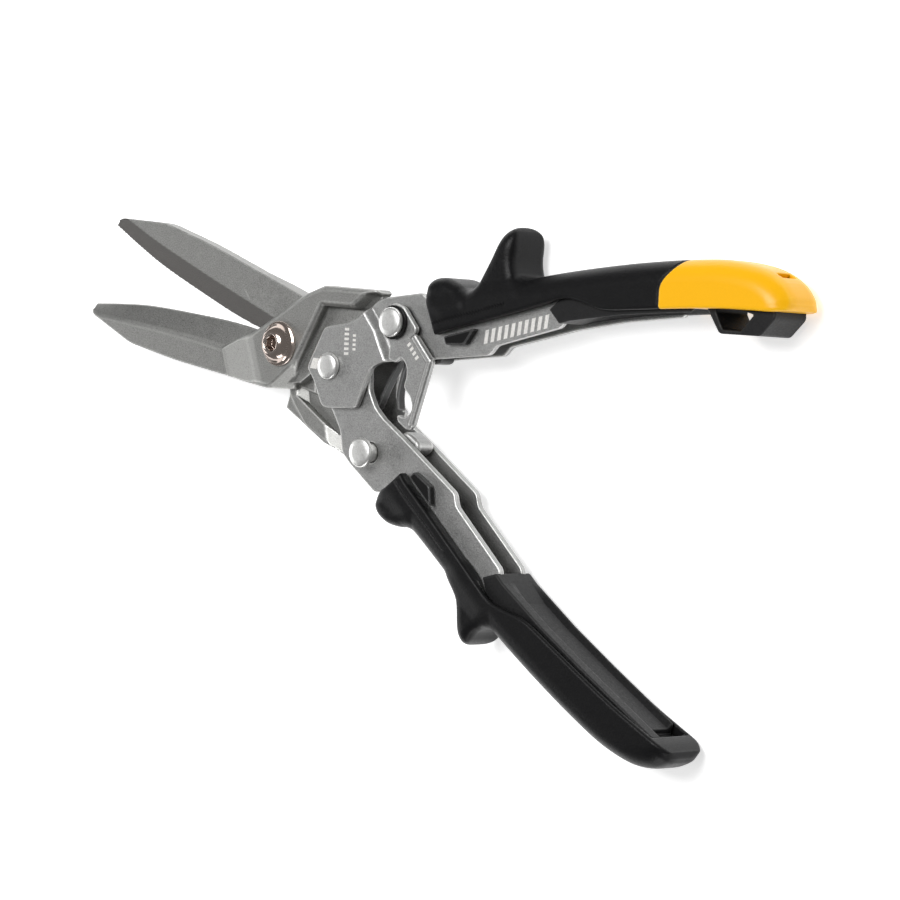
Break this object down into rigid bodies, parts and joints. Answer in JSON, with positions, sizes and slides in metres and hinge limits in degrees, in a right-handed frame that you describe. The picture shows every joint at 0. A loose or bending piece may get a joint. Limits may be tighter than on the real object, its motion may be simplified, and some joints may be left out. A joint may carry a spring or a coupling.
{
  "type": "aviation snips",
  "caption": "Long straight-cut aviation snips with compound leverage, two bevelled blades, channel handles with moulded grips, a hook latch and a tether loop.",
  "frame": {"origin": "centre of the bounding box in plan, on the backs of the grips, with the snips open and lying on their back", "axes": "+X from the blade tips to the handle ends, +Y towards the handle with the coloured cap, +Z out of the front face, along the bolt"},
  "size_m": [0.2912, 0.1528, 0.0228],
  "materials": {
    "blade_steel": "fine blasted grey, slightly sparkling",
    "handle_steel": "metallic grey, fine grain, soft shine",
    "bolt_chrome": "polished, slightly bronze",
    "rivet_steel": "bright brushed",
    "grip_black": "satin moulded black",
    "liner_black": "hard black, faint grain",
    "cap_yellow": "soft gloss orange-yellow",
    "spring_black": "blackened spring steel"
  },
  "bodies": {
    "lower_handle": {"lower_handle_frame": "handle_steel", "lower_grip": "grip_black", "lower_liner": "liner_black", "lower_grip_lug": "liner_black", "lower_stop": "handle_steel", "lower_link_stud": "rivet_steel", "lower_link_spacer": "rivet_steel", "handle_rivet": "rivet_steel", "handle_bush": "rivet_steel"},
    "upper_handle": {"upper_handle_frame": "handle_steel", "upper_grip": "grip_black", "upper_liner": "liner_black", "upper_grip_lug": "liner_black", "upper_stop": "handle_steel", "upper_link_rivet": "rivet_steel", "upper_link_spacer": "rivet_steel", "latch_washer": "liner_black", "latch_ring": "liner_black", "end_cap": "cap_yellow", "tether_loop": "grip_black", "return_spring": "spring_black"},
    "front_blade": {"front_blade": "blade_steel", "pivot_bolt": "bolt_chrome", "pivot_nut": "rivet_steel"},
    "rear_blade": {"rear_blade": "blade_steel"},
    "latch": {"latch": "handle_steel"}
  },
  "joints": [
    {"name": "handle_hinge", "type": "hinge", "parent": "lower_handle", "child": "upper_handle", "pos_m": [-0.0235, 0, 0.0102], "axis": [0, 0, 1], "range_deg": [-35, 0], "stiffness_Nm_per_rad": 0.6, "springref_deg": 20.05, "deforming": ["return_spring"]},
    {"name": "front_blade_hinge", "type": "hinge", "parent": "upper_handle", "child": "front_blade", "pos_m": [0.0002, 0.0215, 0.0102], "axis": [0, 0, 1], "range_deg": [0, 8.4]},
    {"name": "rear_blade_hinge", "type": "hinge", "parent": "front_blade", "child": "rear_blade", "pos_m": [-0.0489, 0, 0.0102], "axis": [0, 0, 1], "range_deg": [0, 18.4]},
    {"name": "latch_hinge", "type": "hinge", "parent": "upper_handle", "child": "latch", "pos_m": [0.0002, 0.0215, 0.0102], "axis": [0, 0, 1], "range_deg": [-9, 3]}
  ],
  "couplings": [
    {"joint": "front_blade_hinge", "follows": "handle_hinge", "ratio": -0.23857},
    {"joint": "rear_blade_hinge", "follows": "handle_hinge", "ratio": -0.52286}
  ]
}
